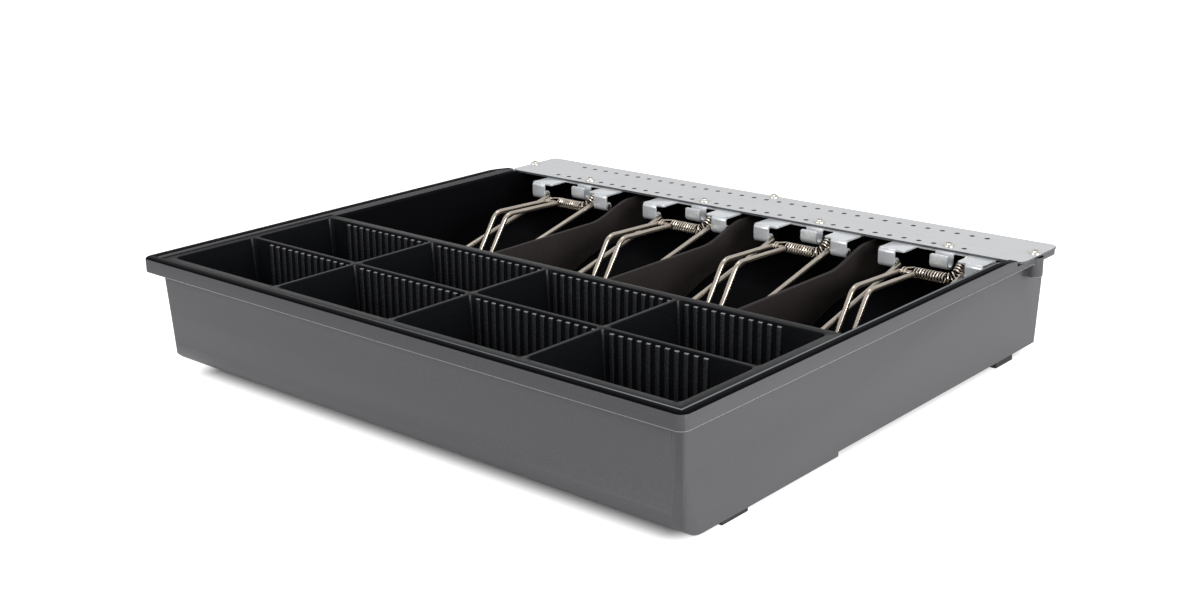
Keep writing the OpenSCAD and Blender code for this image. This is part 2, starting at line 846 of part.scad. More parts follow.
function turn(c, k) = acos(unit(c[k][0] - c[k - 1][0]) * unit(c[k + 1][0] - c[k][0]));
function cut_back(c, k) = c[k][1] == 0 ? 0 : c[k][1] * tan(turn(c, k) / 2);

// Straight round wire between two points, a hair thinner than the bends it runs into
module rod(p, q) {
    d = q - p;
    translate(p)
        rotate([0, acos(d.z / norm(d)), atan2(d.y, d.x)])
            cylinder(r = wire_r - seam, h = norm(d));
}

// Round bend at corner k
module bend(c, k) {
    u = unit(c[k][0] - c[k - 1][0]);
    w = unit(c[k + 1][0] - c[k][0]);
    n = unit(w - (w * u) * u);
    r = c[k][1];
    m = c[k][0] - u * cut_back(c, k) + n * r;
    a = cross(u, n);
    multmatrix([
        [-n.x, u.x, a.x, m.x],
        [-n.y, u.y, a.y, m.y],
        [-n.z, u.z, a.z, m.z],
        [0, 0, 0, 1]
    ])
        rotate_extrude(angle = turn(c, k))
            translate([r, 0]) circle(r = wire_r);
}

module hold_down(i) {
    c = wire_corners(clip_x(i));
    last = len(c) - 1;
    color("#b9ad9c")
    union() {
        for (k = [0 : last - 1]) {
            u = unit(c[k + 1][0] - c[k][0]);
            rod(c[k][0] + u * (cut_back(c, k) - (k > 0 ? seam_lap : 0)),
                c[k + 1][0] - u * (cut_back(c, k + 1) - (k < last - 1 ? seam_lap : 0)));
        }
        for (k = [1 : last - 1])
            bend(c, k);
    }
}

// Springs

// Centre line from the coil's start: along X, round a bend and up towards the bar
spring_len1 = spring_x1 - spring_x0;
spring_len2 = PI / 2 * spring_bend;
spring_up = [0, cos(spring_tilt), sin(spring_tilt)];
spring_flat = [0, -sin(spring_tilt), cos(spring_tilt)];
function spring_angle(s) = max(0, min(90, (s - spring_len1) / spring_bend * 180 / PI));
function spring_mid(s) =
    let (a = spring_angle(s), rest = max(0, s - spring_len1 - spring_len2))
    [spring_x0 + min(s, spring_len1) + spring_bend * sin(a), -coil_out, -coil_drop]
    + spring_up * (spring_bend * (1 - cos(a)) + rest);
function spring_side_dir(s) =
    let (a = spring_angle(s)) [-sin(a), 0, 0] + spring_up * cos(a);

// Turns made in the straight, in the bend and after it
spring_t1 = spring_len1 / spring_pitch;
spring_t2 = spring_t1 + spring_len2 / spring_pitch_bend;
spring_total = spring_t2 + spring_run / spring_pitch;
spring_steps = round(spring_total * spring_rings);

// Length at which a number of turns is reached
function spring_at(t) =
    t < spring_t1 ? t * spring_pitch
    : t < spring_t2 ? spring_len1 + (t - spring_t1) * spring_pitch_bend
    : spring_len1 + spring_len2 + (t - spring_t2) * spring_pitch;

// Point of the coil after t turns; it starts on top and winds to the rear
function spring_point(t) =
    let (s = spring_at(t), a = 90 - spring_tilt - 360 * t)
    spring_mid(s) + spring_r * (cos(a) * spring_side_dir(s) + sin(a) * spring_flat);

// Point of the eye round the lever's rear end, t turns before its upper end
function eye_point(t) =
    let (a = 90 + 360 * t)
    [eye_x - spring_pitch * t, -cross_out + eye_r * cos(a), -cross_drop + eye_r * sin(a)];

eye_steps = round(eye_turns * spring_rings);
plate_mid_z = clip_top - clip_t / 2 - hinge_z;
spring_path = concat(
    [for (k = [eye_steps : -1 : 0]) eye_point(k / spring_rings)],
    [for (k = [1 : 2]) eye_point(0) + (spring_point(0) - eye_point(0)) * k / 3],
    [for (k = [0 : spring_steps]) spring_point(spring_total * k / spring_steps)],
    [
        [spring_end_x, plate_y - hinge_y - spring_end_len, plate_mid_z],
        [spring_end_x, plate_y - hinge_y, plate_mid_z]
    ]
);

// Least distance between stretches of the spring that are not neighbours, less the wire
spring_gap = min([for (i = [0 : len(spring_path) - 6], j = [i + 5 : len(spring_path) - 1])
    norm(spring_path[i] - spring_path[j])]) - spring_wire;
echo(spring_turns = spring_total, spring_gap_mm = spring_gap);

// Tube along a path, its rings carried on without twist
function tangent(p, i) = unit(p[min(i + 1, len(p) - 1)] - p[max(i - 1, 0)]);
function carry(n, t) = unit(n - (n * t) * t);
function frames(p, i, n) =
    i == len(p) ? [] : let (m = carry(n, tangent(p, i))) concat([m], frames(p, i + 1, m));

module tube(p, r, sides) {
    normals = frames(p, 0, [0.3, 0.5, 0.8]);
    rings = len(p);
    points = [for (i = [0 : rings - 1], k = [0 : sides - 1])
        let (t = tangent(p, i), n = normals[i], b = cross(t, n), a = 360 * k / sides)
        p[i] + r * (cos(a) * n + sin(a) * b)];
    faces = concat(
        [for (i = [0 : rings - 2], k = [0 : sides - 1], half = [0, 1])
            let (a = i * sides + k, b = i * sides + (k + 1) % sides)
            half == 0 ? [a, a + sides, b] : [b, a + sides, b + sides]],
        [for (k = [1 : sides - 2]) [0, k, k + 1]],
        [for (k = [1 : sides - 2])
            let (e = (rings - 1) * sides) [e, e + k + 1, e + k]]
    );
    polyhedron(points, faces);
}

module spring(i) {
    color("#9a9288")
    translate([clip_x(i), hinge_y, hinge_z])
        tube(spring_path, spring_wire / 2, spring_side);
}

outer_tray();
cup_tray();
feet();
bay_divider(1);  // bay_divider_1
bay_divider(2);  // bay_divider_2
bay_divider(3);  // bay_divider_3
hold_down_bar();
bar_end_screws();
bar_rear_screw();
clip(0);  // clip_1
clip(1);  // clip_2
clip(2);  // clip_3
clip(3);  // clip_4
clip_screws();
hold_down(0);  // hold_down_1
hold_down(1);  // hold_down_2
hold_down(2);  // hold_down_3
hold_down(3);  // hold_down_4
spring(0);  // spring_1
spring(1);  // spring_2
spring(2);  // spring_3
spring(3);  // spring_4
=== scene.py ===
# %% [markdown]
# # A till insert, dressed around its solid model
# The solid model gives every size and every joint. This script loads it as a fixed
# frame, adds the finishes and the finer forms, and sets up a plain studio with the
# camera of the reference view. Blender works in metres. The sizes named below are in
# millimetres, as a maker writes them, and MM turns them into metres. X runs to the
# right, Y to the rear and Z up, as in the solid model.

import json
import math

import bmesh
import bpy
from mathutils import Matrix, Vector


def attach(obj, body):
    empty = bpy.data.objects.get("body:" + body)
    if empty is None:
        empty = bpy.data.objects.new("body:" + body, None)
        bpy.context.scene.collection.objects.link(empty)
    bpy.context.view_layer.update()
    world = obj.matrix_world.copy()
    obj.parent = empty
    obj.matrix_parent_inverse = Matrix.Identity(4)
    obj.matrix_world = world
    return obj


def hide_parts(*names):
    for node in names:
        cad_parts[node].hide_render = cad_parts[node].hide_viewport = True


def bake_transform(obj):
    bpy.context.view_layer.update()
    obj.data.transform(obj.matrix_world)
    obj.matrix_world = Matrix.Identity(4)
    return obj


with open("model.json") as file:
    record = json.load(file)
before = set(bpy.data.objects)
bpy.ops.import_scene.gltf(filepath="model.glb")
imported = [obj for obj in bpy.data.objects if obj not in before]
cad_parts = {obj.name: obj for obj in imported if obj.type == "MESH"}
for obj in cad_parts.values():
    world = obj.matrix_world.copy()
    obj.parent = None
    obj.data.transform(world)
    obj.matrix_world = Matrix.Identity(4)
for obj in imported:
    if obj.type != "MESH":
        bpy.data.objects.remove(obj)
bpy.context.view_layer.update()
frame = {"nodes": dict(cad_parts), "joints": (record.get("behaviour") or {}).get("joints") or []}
MM = 0.001

# %% [markdown]
# ## Colours and nodes
# Colours are written as a painter would read them from a screen, as sRGB hex. Blender
# works in linear light, so one function converts them. A second function adds a node,
# sets its values and links its inputs; every material and every geometry tree below is
# made with it, so the trees read as short lists.

# %% Colour and node helpers
def linear(code):
    """Turns an sRGB hex colour into the linear values that shaders work with."""
    parts = [int(code[i : i + 2], 16) / 255 for i in (1, 3, 5)]
    light = [c / 12.92 if c <= 0.04045 else ((c + 0.055) / 1.055) ** 2.4 for c in parts]
    return (*light, 1.0)


def add(tree, kind, settings=None, **inputs):
    """Adds a node. An input is a plain value or another node's output socket.
    Inputs go by name, with _ for a space, or by number, as i0, i1 and so on."""
    node = tree.nodes.new(kind)
    for name, value in (settings or {}).items():
        setattr(node, name, value)
    for name, value in inputs.items():
        key = int(name[1:]) if name[0] == "i" and name[1:].isdigit() else name.replace("_", " ")
        socket = node.inputs[key]
        if isinstance(value, bpy.types.NodeSocket):
            tree.links.new(value, socket)
        else:
            socket.default_value = value
    return node


print("mid grey #808080 in linear light:", round(linear("#808080")[0], 3))

# %% [markdown]
# ## Materials with a grain
# No moulded or plated surface is one flat colour. A picture could show its grain, but a
# noise texture needs no file, and its scale follows from a grain width in millimetres.
# One noise drives a small bump, a slight shift in tone and a slight shift in roughness,
# so that the three agree, as they do on a real surface. It reads Object coordinates,
# which keeps the grain one size on every piece and carries it along when a piece moves.
# The real grains here are about a tenth of a millimetre wide, finer than one pixel of
# the picture, so they are drawn at about one millimetre: as coarse as they need to show.

# %% Material helpers
NOISE_LOW, NOISE_HIGH = 0.3, 0.7


def new_material(name, colour, roughness, metallic=0.0, **sockets):
    """A material with one principled shader, whose constants sit on its own sockets."""
    material = bpy.data.materials.new(name)
    material.use_nodes = True
    material.diffuse_color = linear(colour)
    shader = material.node_tree.nodes["Principled BSDF"]
    shader.inputs["Base Color"].default_value = linear(colour)
    shader.inputs["Roughness"].default_value = roughness
    shader.inputs["Metallic"].default_value = metallic
    for key, value in sockets.items():
        shader.inputs[key.replace("_", " ")].default_value = value
    return material


def grain(material, size_mm, height_mm, gloss, tones=None, stretch=(1.0, 1.0, 1.0)):
    """A grain of a real size: its bump, its least and most roughness and its two tones."""
    tree = material.node_tree
    shader = tree.nodes["Principled BSDF"]
    place = add(tree, "ShaderNodeTexCoord")
    turn = add(tree, "ShaderNodeMapping", Vector=place.outputs["Object"], Scale=stretch)
    noise = add(tree, "ShaderNodeTexNoise", Vector=turn.outputs["Vector"],
                Scale=1.0 / (size_mm * MM), Detail=2.0, Roughness=0.6)
    bump = add(tree, "ShaderNodeBump", Height=noise.outputs["Fac"], Distance=height_mm * MM, Strength=1.0)
    tree.links.new(bump.outputs["Normal"], shader.inputs["Normal"])
    spread = add(tree, "ShaderNodeMapRange", Value=noise.outputs["Fac"],
                 From_Min=NOISE_LOW, From_Max=NOISE_HIGH)
    rough = add(tree, "ShaderNodeMapRange", Value=spread.outputs["Result"],
                To_Min=gloss[0], To_Max=gloss[1])
    tree.links.new(rough.outputs["Result"], shader.inputs["Roughness"])
    if tones:
        tint = add(tree, "ShaderNodeMix", {"data_type": "RGBA"}, i0=spread.outputs["Result"],
                   i6=linear(tones[0]), i7=linear(tones[1]))
        tree.links.new(tint.outputs[2], shader.inputs["Base Color"])
    print(material.name, "- grain drawn at", size_mm, "mm")


print("noise between", NOISE_LOW, "and", NOISE_HIGH, "spans the two tones of a grain")

# %% [markdown]
# ## Etched plastic
# The tray is injection-moulded black ABS. Its outside was moulded against an etched steel face, which
# gives a fine, even satin with no sharp reflection. Its outer faces are given a mid-grey here, a lit copy
# of the black: painted light. The rim's skirt at the front is given a shade darker again: painted shade.
# A darker second material on those faces is plainer than a mask in the first one.

# %% Etched plastic
ABS_IOR = 1.52
# The outer faces get a lit grey copy of the black plastic: painted light.
painted_lit_grey_abs = new_material("etched ABS, painted lit grey", "#4f4f52", roughness=0.55,
                            IOR=ABS_IOR, Specular_IOR_Level=0.25)
grain(painted_lit_grey_abs, size_mm=0.9, height_mm=0.02, gloss=(0.5, 0.6), tones=("#4b4b4e", "#535356"))
# The front skirt gets a darker copy again: painted shade.
painted_shade_skirt_abs = new_material("etched ABS, painted shade on front skirt", "#434346", roughness=0.55,
                         IOR=ABS_IOR, Specular_IOR_Level=0.25)
grain(painted_shade_skirt_abs, size_mm=0.9, height_mm=0.02, gloss=(0.5, 0.6), tones=("#3f3f42", "#474749"))

# %% [markdown]
# ## Black plastic and a painted highlight on its lip
# The inside and the tops of the rims keep the plastic's own black; only the outer faces are painted
# lighter.
# Their specular level is held far down, because a studio that is white all round would
# veil the black with a grey sheen that the real plastic, deep in its own shade, lacks.
# Along the front and the right side, a thin, light line is painted into the lip, stronger towards the
# right: a painted highlight where the lip's edge would catch the lamps. It has no depth, so it isn't
# modelled: the shader measures how far a point lies in from the rim's edge and mixes a paler tone into a
# narrow band there. That follows the lip round its corner with no drawing at all.

# %% Black plastic
HALF_W, HALF_D, RIM_TOP = 177.5, 159.0, 61.0
LINE_INSET, LINE_CORE, LINE_FADE = 3.9, 0.25, 0.65
HIGHLIGHT_LOW = RIM_TOP - 0.5
HIGHLIGHT_START_X, HIGHLIGHT_FULL_X, HIGHLIGHT_LEAST = -100.0, 170.0, 0.12
# The second tone is the painted highlight on the lip.
BLACK, HIGHLIGHT_TONE = "#09090b", "#85898e"
black_abs = new_material("moulded ABS, black", BLACK, roughness=0.45,
                         IOR=ABS_IOR, Specular_IOR_Level=0.008)
grain(black_abs, size_mm=1.2, height_mm=0.015, gloss=(0.4, 0.5))
tree = black_abs.node_tree
place = add(tree, "ShaderNodeTexCoord")
axes = add(tree, "ShaderNodeSeparateXYZ", Vector=place.outputs["Object"])
from_front = add(tree, "ShaderNodeMath", {"operation": "ADD"}, i0=axes.outputs["Y"], i1=HALF_D * MM)
from_right = add(tree, "ShaderNodeMath", {"operation": "SUBTRACT"}, i0=HALF_W * MM, i1=axes.outputs["X"])
inset = add(tree, "ShaderNodeMath", {"operation": "MINIMUM"},
            i0=from_front.outputs[0], i1=from_right.outputs[0])
print("lip line:", LINE_INSET, "mm in from the rim's edge,", 2 * LINE_FADE, "mm wide")

# %% Painted highlight line
off_line = add(tree, "ShaderNodeMath", {"operation": "SUBTRACT"}, i0=inset.outputs[0], i1=LINE_INSET * MM)
distance = add(tree, "ShaderNodeMath", {"operation": "ABSOLUTE"}, i0=off_line.outputs[0])
line = add(tree, "ShaderNodeMapRange", Value=distance.outputs[0],
           From_Min=LINE_CORE * MM, From_Max=LINE_FADE * MM, To_Min=1.0, To_Max=0.0)
on_top = add(tree, "ShaderNodeMath", {"operation": "GREATER_THAN"}, i0=axes.outputs["Z"], i1=HIGHLIGHT_LOW * MM)
# A ramp along X makes the painted highlight stronger towards the right.
highlight_to_right = add(tree, "ShaderNodeMapRange", Value=axes.outputs["X"],
           From_Min=HIGHLIGHT_START_X * MM, From_Max=HIGHLIGHT_FULL_X * MM, To_Min=HIGHLIGHT_LEAST, To_Max=1.0)
lip_highlight = add(tree, "ShaderNodeMath", {"operation": "MULTIPLY"},
          i0=line.outputs["Result"], i1=on_top.outputs[0])
share = add(tree, "ShaderNodeMath", {"operation": "MULTIPLY"},
            i0=lip_highlight.outputs[0], i1=highlight_to_right.outputs["Result"])
tint = add(tree, "ShaderNodeMix", {"data_type": "RGBA"},
           i0=share.outputs[0], i6=linear(BLACK), i7=linear(HIGHLIGHT_TONE))
tree.links.new(tint.outputs[2], tree.nodes["Principled BSDF"].inputs["Base Color"])
print("nodes in", black_abs.name + ":", len(tree.nodes))

# %% [markdown]
# ## Cups, dividers and feet
# The cup tray is a moulding of its own, black and a little glossier than the tray's inside. Its ribs were
# polished in the mould so that they let go of it, which gives narrow upright glints; their faces are also
# given a paler tone than the cup, as painted light. The skirt's lower edge and the tops of the ribs are
# given a light grey: a painted highlight. The bay dividers came from another batch, a warm brown-black,
# and the feet are dull rubber.

# %% Smaller plastics and rubber
# Light grey of the skirt's lower edge and the ribs' tops: a painted highlight.
edge_highlight_abs = new_material("ABS edge, painted highlight", "#7f8185", roughness=0.3, IOR=ABS_IOR)
grain(edge_highlight_abs, size_mm=1.2, height_mm=0.01, gloss=(0.24, 0.36), tones=("#77797d", "#87898d"))
cup_abs = new_material("moulded ABS, cup tray", "#101113", roughness=0.36,
                       IOR=ABS_IOR, Specular_IOR_Level=0.05)
grain(cup_abs, size_mm=1.2, height_mm=0.006, gloss=(0.32, 0.4), tones=("#0e0f11", "#121315"))
# Rib faces: polished, and a paler tone than the cup that is painted light.
rib_polish_and_painted_light_abs = new_material("moulded ABS, polished ribs, painted highlight", "#1f2023", roughness=0.28,
                       IOR=ABS_IOR, Specular_IOR_Level=0.2)
grain(rib_polish_and_painted_light_abs, size_mm=1.2, height_mm=0.002, gloss=(0.24, 0.32), tones=("#1d1e21", "#212225"))
divider_abs = new_material("moulded ABS, brown-black", "#2c2827", roughness=0.5,
                           IOR=ABS_IOR, Specular_IOR_Level=0.06)
grain(divider_abs, size_mm=1.2, height_mm=0.015, gloss=(0.44, 0.56), tones=("#292524", "#2f2b2a"))
foot_rubber = new_material("moulded rubber, black", "#1b1b1c", roughness=0.8, IOR=1.5)
grain(foot_rubber, size_mm=1.0, height_mm=0.03, gloss=(0.72, 0.88), tones=("#181819", "#1e1e1f"))

# %% [markdown]
# ## Metals
# The bar is zinc-coated sheet steel. Zinc is a dull, milky coat, so it is only partly metallic here, and
# rolling left fine streaks along the strip: the noise is stretched in X. The clips are galvanised,
# smoother and a touch paler. A shear leaves the bar's cut edge and the walls of its holes bare and rough;
# their dark tone is partly that bare steel and partly painted shade, for the holes and the edge.

# %% Sheet metals
bar_zinc = new_material("zinc-coated sheet steel, rolled", "#c3c4c6", roughness=0.42, metallic=0.15)
grain(bar_zinc, size_mm=1.0, height_mm=0.006, gloss=(0.36, 0.48), tones=("#bdbec0", "#c9cacc"),
      stretch=(0.06, 1.0, 1.0))
clip_zinc = new_material("galvanised sheet steel, bent", "#cdd0d3", roughness=0.3, metallic=0.35)
grain(clip_zinc, size_mm=1.4, height_mm=0.002, gloss=(0.27, 0.33), tones=("#c9cccf", "#d1d4d7"))
# Bare steel, darkened further as painted shade in the holes and at the edge.
sheared_steel_and_shade = new_material("sheared steel edge, bare, painted shade", "#4d4f52", roughness=0.5, metallic=0.3)
grain(sheared_steel_and_shade, size_mm=0.6, height_mm=0.01, gloss=(0.42, 0.58), tones=("#424447", "#585a5d"),
      stretch=(1.0, 1.0, 0.1))

# %% [markdown]
# The hold-downs are nickel-plated spring wire. A die drew the wire, so its lines run
# along it, which is mostly along Y, and handling has dulled the plating a little: that
# is why it isn't a full mirror. The springs are thinner wire of the same kind, paler and
# duller. The screws are zinc-plated and bright, a warm grey.

# %% Wires and screws
wire_nickel = new_material("nickel-plated spring wire", "#aaa196", roughness=0.14, metallic=0.86)
grain(wire_nickel, size_mm=0.7, height_mm=0.001, gloss=(0.1, 0.18), tones=("#a29a8f", "#b2a89d"),
      stretch=(1.0, 0.08, 1.0))
spring_nickel = new_material("drawn spring wire, bright", "#d0c6b9", roughness=0.22, metallic=0.85)
grain(spring_nickel, size_mm=0.5, height_mm=0.001, gloss=(0.16, 0.28), tones=("#c5bbae", "#dbd1c4"))
screw_zinc = new_material("zinc-plated screw, passivated", "#c4c1bb", roughness=0.16, metallic=1.0)
grain(screw_zinc, size_mm=0.6, height_mm=0.002, gloss=(0.11, 0.21), tones=("#bab7b1", "#cecbc5"))

# %% [markdown]
# ## Softened edges
# No real moulding or sheet has a knife edge: the mould's corners are rounded and so are
# sheared edges, and that is what catches a thin line of light. A Bevel modifier would do
# it too, but here the solid model's mesh is loose triangles, so its doubles are merged
# and its flat faces joined first, and then each true edge gets a small bevel. Doing it
# on a copy keeps the frame itself untouched. A piece may also hand in a function that
# moves its points; edges between the points which that function marks get no bevel.

# %% Bevelled copies
MERGE_MM, FLAT_DEG, SMOOTH_DEG = 0.004, 0.6, 32


def wants_bevel(edge, sharp_deg, least_mm):
    """Whether an edge joins two faces at a true angle, is long enough and isn't marked."""
    if len(edge.link_faces) != 2 or edge.calc_face_angle(0.0) <= math.radians(sharp_deg):
        return False
    marked = edge.verts[0].tag and edge.verts[1].tag
    return edge.calc_length() > least_mm * MM and not marked


def soft_copy(node, name, width_mm, segments=2, sharp_deg=24.0, least_mm=0.0, reshape=None):
    """A copy of a node's mesh, as a new piece, with its sharp edges softened."""
    mesh = frame["nodes"][node].data.copy()
    mesh.name = name
    work = bmesh.new()
    work.from_mesh(mesh)
    bmesh.ops.remove_doubles(work, verts=work.verts, dist=MERGE_MM * MM)
    if reshape:
        for vertex in work.verts:
            place, vertex.tag = reshape(vertex.co / MM)
            vertex.co = place * MM
    bmesh.ops.dissolve_limit(work, angle_limit=math.radians(FLAT_DEG), use_dissolve_boundaries=False,
                             verts=work.verts, edges=work.edges)
    bmesh.ops.triangulate(work, faces=work.faces)
    edges = [e for e in work.edges if wants_bevel(e, sharp_deg, least_mm)]
    bmesh.ops.bevel(work, geom=edges, offset=width_mm * MM, offset_type="OFFSET", segments=segments,
                    profile=0.5, affect="EDGES", clamp_overlap=False, harden_normals=False)
    bmesh.ops.triangulate(work, faces=[f for f in work.faces if len(f.verts) > 4])
    work.to_mesh(mesh)
    work.free()
    mesh.materials.clear()
    for face in mesh.polygons:
        face.use_smooth = True
    mesh.set_sharp_from_angle(angle=math.radians(SMOOTH_DEG))
    piece = bpy.data.objects.new(name, mesh)
    bpy.context.scene.collection.objects.link(piece)
    print(name, "edges softened:", len(edges), "faces:", len(mesh.polygons))
    return piece


print("points closer than", MERGE_MM, "mm are merged, faces within", FLAT_DEG, "degrees are joined")

# %% [markdown]
# ## Tighter front corners
# The two front corners of the real rim, and of the wall below it, are rounded more
# tightly than the solid model's. They could be cut away and modelled anew. Moving the
# points is simpler and keeps every face. The rim's round shrinks while its middle moves
# out towards the corner, so it still meets both sides without a step. A point on the
# wall's round keeps its share of the way round, on a smaller arc. The wall leans inwards
# and rolls under the tray as a nose, so its two faces are worked out at every height.

# %% Sizes of the corners
LIP_W, SKIRT_LOW, OVERHANG = 5.0, 53.0, 6.0
LEDGE_Z, FLANGE_Z, BOTTOM_Z = 58.1, 56.1, 1.5
SOLID_R, CORNER_R, NOSE_R = 9.0, 4.5, 14.0
DRAFT = math.radians(2)
SLOPE = math.tan(DRAFT)
NARROW = CORNER_R / SOLID_R

# Where the nose cuts the wall's round shorter than this arc, in radians, its radius fades out
FULL_ARC = 0.45

# How far a point may lie off a round, a corner's border and a height and still belong there
ON_ROUND, SLACK, CLEAR = 0.03, 0.01, 0.1
print("front corners:", SOLID_R, "mm in the solid model,", CORNER_R, "mm here")


# %% How points move
def clamp(value):
    """Holds a share between none and all."""
    return min(max(value, 0), 1)


def tighten(p, x, y):
    """Moves a point of a round corner with its middle at x, -y onto a tighter round."""
    dx, dy = abs(p.x) - x, -p.y - y
    reach = math.hypot(dx, dy) * (1 - NARROW)
    return Vector((math.copysign(x + reach + NARROW * dx, p.x), -y - reach - NARROW * dy, p.z))


def wall_faces(z):
    """How far the side wall and the front wall stand out at one height."""
    side = HALF_W - OVERHANG - SLOPE * min(LEDGE_Z - z, (LEDGE_Z - BOTTOM_Z) / 2)
    drop = BOTTOM_Z + NOSE_R - z
    if drop > NOSE_R * math.sin(DRAFT):
        nose_top = HALF_D - OVERHANG - (LEDGE_Z - BOTTOM_Z - NOSE_R) * SLOPE
        nose_middle = nose_top - NOSE_R / math.cos(DRAFT)
        return side, nose_middle + math.sqrt(max(NOSE_R**2 - drop**2, 0))
    return side, HALF_D - OVERHANG - (LEDGE_Z - z) * SLOPE


def wall_corner(p, dx, dy):
    """Where a point of the wall's round goes: as far round, on a tighter arc."""
    side, front = wall_faces(p.z)
    first = math.acos(min((side - abs(p.x) + dx) / SOLID_R, 1))
    last = math.pi / 2 - math.acos(clamp((front + p.y + dy) / SOLID_R))
    arc = last - first
    turn = clamp((math.atan2(dy, dx) - first) / max(arc, 1e-4)) * math.pi / 2
    radius = CORNER_R * clamp(arc / FULL_ARC)
    x = side - radius * (1 - math.cos(turn))
    y = -front + radius * (1 - math.sin(turn))
    return Vector((math.copysign(x, p.x), y, p.z))


print("wall below the rim stands at", [round(v, 2) for v in wall_faces(LEDGE_Z)], "mm")


# %% Corners of tray and cups
def tray_corner(p):
    """The tray's front corners: the round of the wall, and the rim's round above it."""
    dx = abs(p.x) - (HALF_W - OVERHANG - SOLID_R)
    dy = -p.y - (HALF_D - OVERHANG - SOLID_R)
    on_round = abs(math.hypot(dx, dy) - SOLID_R) < ON_ROUND
    if on_round and dx > -SLACK and dy > -SLACK and p.z < FLANGE_Z + CLEAR:
        return wall_corner(p, dx, dy), True
    x, y = HALF_W - SOLID_R, HALF_D - SOLID_R
    in_corner = abs(p.x) > x - SLACK and p.y < -y + SLACK
    outer = math.hypot(abs(p.x) - x, -p.y - y) > SOLID_R - LIP_W - CLEAR
    if in_corner and outer and p.z > SKIRT_LOW - SLACK:
        return tighten(p, x, y), False
    return p, False


CUP_GAP = 0.4


def cup_corner(p):
    """The cup tray's front corners, kept at an even gap inside the rim's lip."""
    x, y = HALF_W - SOLID_R - CUP_GAP, HALF_D - SOLID_R - CUP_GAP
    in_corner = abs(p.x) > x - SLACK and p.y < -y + SLACK
    on_round = abs(math.hypot(abs(p.x) - x, -p.y - y) - (SOLID_R - LIP_W)) < ON_ROUND
    return (tighten(p, x, y) if in_corner and on_round else p), False


tip = Vector((HALF_W - SOLID_R, -HALF_D, RIM_TOP))
print("a rim point at x =", tip.x, "moves to x =", round(tray_corner(tip)[0].x, 2))

# %% [markdown]
# ## Outer tray
# One moulding carries everything. Its outer faces take the etched charcoal finish, a lit grey copy of the
# black plastic that is painted light; the faces that look up or inwards keep the black, and the skirt's
# lower edge takes a painted highlight. The faces could be painted by hand; here they are told apart by
# where they lie and which way they point, so the finish follows the shape if a size changes.

# %% Finish of each tray face
HIGHLIGHT_EDGE_W, LOW_Z = 0.6, 20.0
OUTER_X, OUTER_FRONT_Y, OUTER_REAR_Y, BOSS_X = 165.0, -135.0, 150.0, 172.0

# How much of a face's normal has to point one way for the face to count as facing there
FACING, UPWARD, FORWARD, DOWNWARD, NEAR_LEVEL, LEVEL = 0.2, 0.45, 0.5, 0.6, 0.9, 0.97


def rim_offset(c):
    """How far a point lies in from the rim's outer face, seen from above, in mm."""
    x = abs(c.x) - (HALF_W - CORNER_R)
    y = -c.y - (HALF_D - CORNER_R)
    return CORNER_R - (math.hypot(x, y) if x > 0 and y > 0 else max(x, y))


def tray_finish(face):
    """A face's slot: 0 black; 1 etched outside in painted lit grey; 2 edge with a painted highlight; 3
    front of the skirt in painted shade.
    """
    c, n = face.center / MM, face.normal
    on_skirt = rim_offset(c) < HIGHLIGHT_EDGE_W
    # Slot 2: a painted highlight along the skirt's lower edge.
    if on_skirt and c.z < SKIRT_LOW + HIGHLIGHT_EDGE_W and n.z > -LEVEL and abs(n.z) > FACING:
        return 2
    if n.z > UPWARD:
        return 0
    # Front of the skirt: painted shade.
    if on_skirt and c.z > SKIRT_LOW and n.y < -FORWARD:
        return 3
    # Outer faces: the lit grey copy, painted light.
    outward = abs(c.x) > OUTER_X and n.x * c.x > FACING * abs(c.x)
    rearward = c.y > OUTER_REAR_Y and n.y > FACING
    frontward = c.y < OUTER_FRONT_Y and n.y < -FACING
    below = n.z < -DOWNWARD and (c.z < LOW_Z or n.z < -NEAR_LEVEL)
    proud = abs(c.x) > BOSS_X and c.z < RIM_TOP - 1
    return 1 if outward or rearward or frontward or below or proud else 0


# Width of the painted highlight along the skirt's lower edge.
print("painted highlight along the skirt's edge:", HIGHLIGHT_EDGE_W, "mm wide")

# %% Tray
tray = soft_copy("outer_tray", "tray_moulding", width_mm=0.45, reshape=tray_corner)
# In slot order: black, painted lit grey, painted edge highlight, painted skirt shade.
for finish in (black_abs, painted_lit_grey_abs, edge_highlight_abs, painted_shade_skirt_abs):
    tray.data.materials.append(finish)
for face in tray.data.polygons:
    face.material_index = tray_finish(face)
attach(tray, "tray")
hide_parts("outer_tray")
counts = [sum(f.material_index == k for f in tray.data.polygons) for k in range(4)]
print("tray faces: black, charcoal, edges, skirt", counts)

# %% [markdown]
# ## Cup tray
# A thin moulding with eight scooped cups hangs inside the rim and lifts out. The ribs on the rear face of
# each cup keep what lies there from sticking to the wall. They are part of the solid model, so only their
# finish is set here: the face of a rib is polished and given a paler tone, which is painted light, its
# top takes a painted highlight, and each is found by how close it lies to the ribs' plane.

